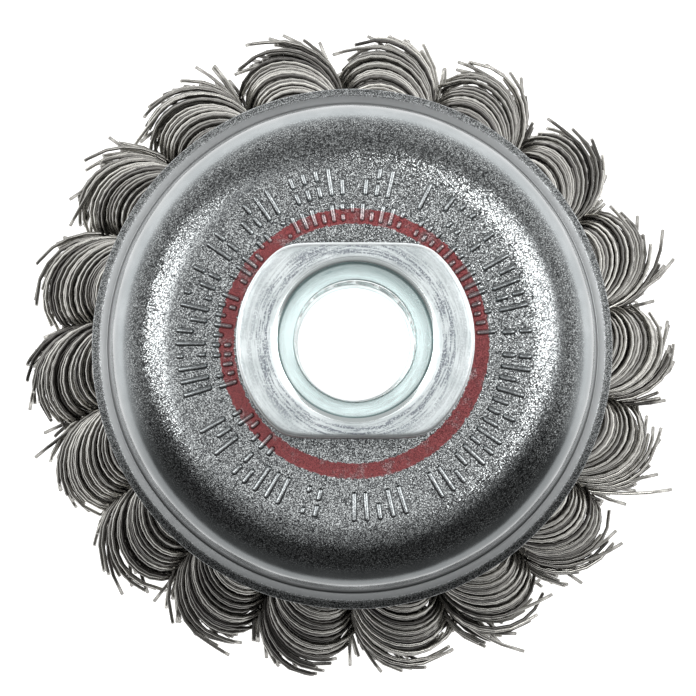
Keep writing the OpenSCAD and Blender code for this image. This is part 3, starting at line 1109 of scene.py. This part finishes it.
def make_knot(number):
    rng = np.random.default_rng(KNOT_SEED + number)
    parts = [place_bundle(rng, number, outer_wires(rng), SHOWN_RINGS),
             place_bundle(rng, number, core_wires(rng), CORE_RINGS),
             place_loops(number)]
    faces, smooth = knot_faces(parts)
    points = np.concatenate([part[0] for part in parts])
    piece = link_mesh(f"wires_{number:02d}", points, faces, WIRE_STEEL)
    piece.data.polygons.foreach_set("use_smooth", smooth)
    # Each point's tone, with painted shade on the wires in the middle of the knot
    tone_and_shade = piece.data.attributes.new("tone_and_shade", "FLOAT", "POINT")
    tone_and_shade.data.foreach_set("value", np.concatenate([part[3] for part in parts]).astype(np.float32))
    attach(piece, "root")
    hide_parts(f"knot_{number:02d}")


make_cup()
make_marks()
make_nut()
for number in range(1, KNOT_COUNT + 1):
    make_knot(number)

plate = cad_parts["knot_plate"]
plate.data.materials.clear()
plate.data.materials.append(PLATE_STEEL)

floor = link_square("floor", FLOOR_HALF, 0, floor_paper())


def make_camera():
    data = bpy.data.cameras.new("camera")
    data.sensor_width = SENSOR
    data.lens = SENSOR * CAMERA_HEIGHT / (FRAME_PX * NUT_SCALE)
    data.clip_start = CLIP_START
    data.clip_end = CLIP_END
    camera = bpy.data.objects.new("camera", data)
    bpy.context.scene.collection.objects.link(camera)
    aim_x = (FRAME_PX / 2 - NUT_TOP_PX[0]) * NUT_SCALE
    aim_y = (NUT_TOP_PX[1] - FRAME_PX / 2) * NUT_SCALE
    place = Vector((*CAMERA_OFFSET, NUT_TOP_Z + CAMERA_HEIGHT))
    back = (place - Vector((aim_x, aim_y, NUT_TOP_Z))).normalized()
    right = Vector((0, 1, 0)).cross(back).normalized()
    up = back.cross(right)
    camera.matrix_world = Matrix((right, up, back)).transposed().to_4x4()
    camera.location = place * MM
    bpy.context.scene.camera = camera


def softbox(name, azimuth, from_zenith, distance, size, power):
    """A rectangular area light that faces the middle of the flat top.

    Its azimuth is counter-clockwise from +X, and both angles are in degrees."""
    data = bpy.data.lights.new(name, "AREA")
    data.shape = "RECTANGLE"
    data.size = size[0] * MM
    data.size_y = size[1] * MM
    data.energy = power
    light = bpy.data.objects.new(name, data)
    bpy.context.scene.collection.objects.link(light)
    a = math.radians(azimuth)
    t = math.radians(from_zenith)
    away = Vector((math.sin(t) * math.cos(a), math.sin(t) * math.sin(a), math.cos(t)))
    light.location = (Vector((0, 0, CUP_TOP_Z)) + away * distance) * MM
    light.rotation_mode = "QUATERNION"
    light.rotation_quaternion = away.to_track_quat("Z", "Y")
    light.visible_camera = False


def card_glow(s):
    """Strength of the card's light at each place."""
    place = s.position()
    r = s.radius(place)
    y = s.parts(place)["Y"]
    grey = s.ramp(s.math("DIVIDE", y, r), SOUTH_TO_NORTH, (SOUTH_LIGHT, HORIZON_LIGHT))
    shade = s.times(s.ramp_mm(y, CARD_SHADE_SPAN, (CARD_SHADE, 0.0)),
                    s.ramp_mm(r, CARD_SHADE_START, (CARD_SHADE_LEAST, 1.0)))
    white = s.times(s.ramp_mm(r, CARD_WHITE_SPAN, CARD_WHITES), s.math("SUBTRACT", 1.0, shade))
    oval = s.vector("DIVIDE", s.vector("SUBTRACT", place, CARD_OVAL_MIDDLE), CARD_OVAL)
    far = s.ramp(s.radius(oval), CARD_OVAL_EDGE)
    return s.math("ADD", s.times(far, grey), s.times(s.math("SUBTRACT", 1.0, far), white))


def make_card():
    s = new_shader("reflected_card")
    material = s.surface(Base_Color=CARD_COLOUR, Roughness=DULL, Emission_Color=WHITE,
                         Emission_Strength=card_glow(s))
    card = link_square("card", CARD_HALF, CARD_Z, material)
    card.visible_camera = False
    card.visible_diffuse = False
    card.visible_shadow = False


def make_world():
    """A grey surround, dark on the side of the lower edge of the picture; the camera sees it as white."""
    world = bpy.data.worlds.new("studio")
    bpy.context.scene.world = world
    s = Nodes(world)
    direction = s.node("ShaderNodeTexCoord").outputs["Generated"]
    height = s.parts(direction)["Z"]
    heading = s.vector("NORMALIZE", s.vector("MULTIPLY", direction, (1, 1, 0)))
    low_north = s.ramp(height, HIGH_TO_HORIZON, (NORTH_LIGHT, HORIZON_LIGHT))
    low = s.ramp(s.parts(heading)["Y"], SOUTH_TO_NORTH, (SOUTH_LIGHT, low_north))
    strength = s.ramp(height, LOW_TO_HIGH, (low, NORTH_LIGHT))
    seen = s.node("ShaderNodeLightPath").outputs["Is Camera Ray"]
    strength = s.ramp(seen, (0, 1), (strength, SEEN_LIGHT))
    background = s.node("ShaderNodeBackground", {"Color": WHITE, "Strength": strength})
    s.node("ShaderNodeOutputWorld", {"Surface": background.outputs["Background"]})


make_camera()
for box in SOFTBOXES:
    softbox(*box)
make_card()
make_world()
bpy.context.scene.view_settings.view_transform = "Standard"
